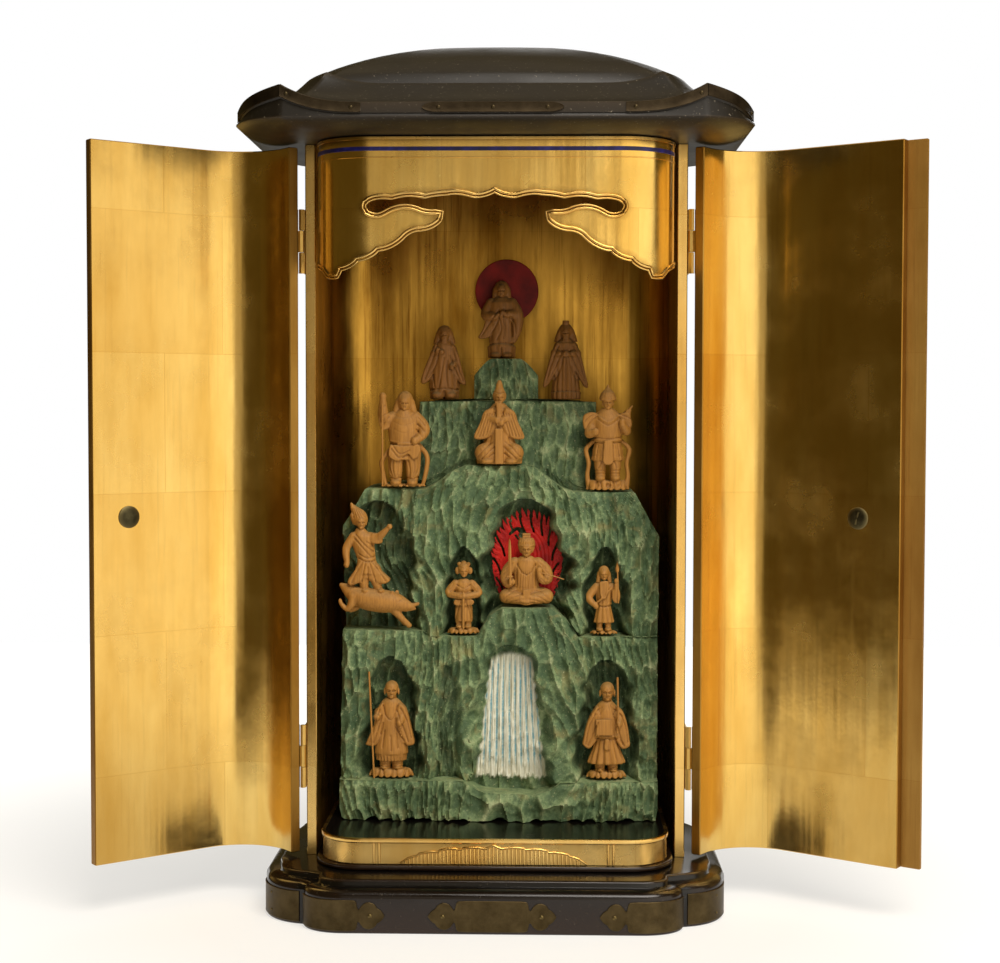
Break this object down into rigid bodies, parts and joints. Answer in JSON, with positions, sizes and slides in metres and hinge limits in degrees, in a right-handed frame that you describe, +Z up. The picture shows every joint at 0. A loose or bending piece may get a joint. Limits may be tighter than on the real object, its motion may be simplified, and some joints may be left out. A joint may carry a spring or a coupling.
{
  "type": "folding shrine box",
  "caption": "Lacquered cabinet shrine with a domed roof and curved hinged doors, gilded inside, sheltering a carved mountain with small figures.",
  "frame": {"origin": "middle of the base underside", "axes": "+Z up, front of the box towards -Y, +X to the right seen from the front"},
  "size_m": [0.6392, 0.2584, 0.6827],
  "materials": {
    "black_lacquer": "polished black-brown lacquer over wood",
    "gold_leaf": "satin gold leaf over lacquered wood, black lacquer outside",
    "antique_bronze": "dark patinated bronze",
    "dark_iron": "dark worn metal",
    "painted_rock": "gouge-carved wood with matt green paint",
    "carved_wood": "bare carved wood, darkened with age",
    "red_paint": "matt red paint on thin wood"
  },
  "bodies": {
    "cabinet": {"base_plinth": "black_lacquer", "base_plate_front": "antique_bronze", "base_plate_front_left": "antique_bronze", "base_plate_front_right": "antique_bronze", "base_plate_rear_left": "antique_bronze", "base_plate_rear_right": "antique_bronze", "floor_board": "black_lacquer", "dais": "gold_leaf", "case_side_left": "gold_leaf", "case_side_right": "gold_leaf", "case_back": "gold_leaf", "valance": "gold_leaf", "roof": "black_lacquer", "roof_plate_front": "antique_bronze", "roof_plate_front_left": "antique_bronze", "roof_plate_front_right": "antique_bronze", "roof_plate_rear_left": "antique_bronze", "roof_plate_rear_right": "antique_bronze", "hinge_lower_left_case_leaf": "dark_iron", "hinge_lower_right_case_leaf": "dark_iron", "hinge_upper_left_case_leaf": "dark_iron", "hinge_upper_right_case_leaf": "dark_iron", "mountain": "painted_rock", "figure_peak": "carved_wood", "figure_upper_left": "carved_wood", "figure_upper_right": "carved_wood", "figure_middle_left": "carved_wood", "figure_middle_centre": "carved_wood", "figure_middle_right": "carved_wood", "figure_boar_rider": "carved_wood", "figure_acolyte_left": "carved_wood", "figure_seated": "carved_wood", "figure_acolyte_right": "carved_wood", "figure_priest_left": "carved_wood", "figure_priest_right": "carved_wood", "sun_disc": "red_paint", "flame_halo": "red_paint", "staff_middle_left": "carved_wood", "staff_priest_left": "carved_wood", "sword": "carved_wood"},
    "left_door": {"door_left": "gold_leaf", "door_left_boss": "antique_bronze", "hinge_lower_left_door_leaf": "dark_iron", "hinge_upper_left_door_leaf": "dark_iron"},
    "right_door": {"door_right": "gold_leaf", "door_right_boss": "antique_bronze", "door_right_astragal": "gold_leaf", "hinge_lower_right_door_leaf": "dark_iron", "hinge_upper_right_door_leaf": "dark_iron"}
  },
  "joints": [
    {"name": "left_door_hinge", "type": "hinge", "parent": "cabinet", "child": "left_door", "pos_m": [-0.15275, -0.04, 0.32], "axis": [0, 0, 1], "range_deg": [-33.5, 141.5]},
    {"name": "right_door_hinge", "type": "hinge", "parent": "cabinet", "child": "right_door", "pos_m": [0.15275, -0.04, 0.32], "axis": [0, 0, 1], "range_deg": [-145, 30]}
  ]
}
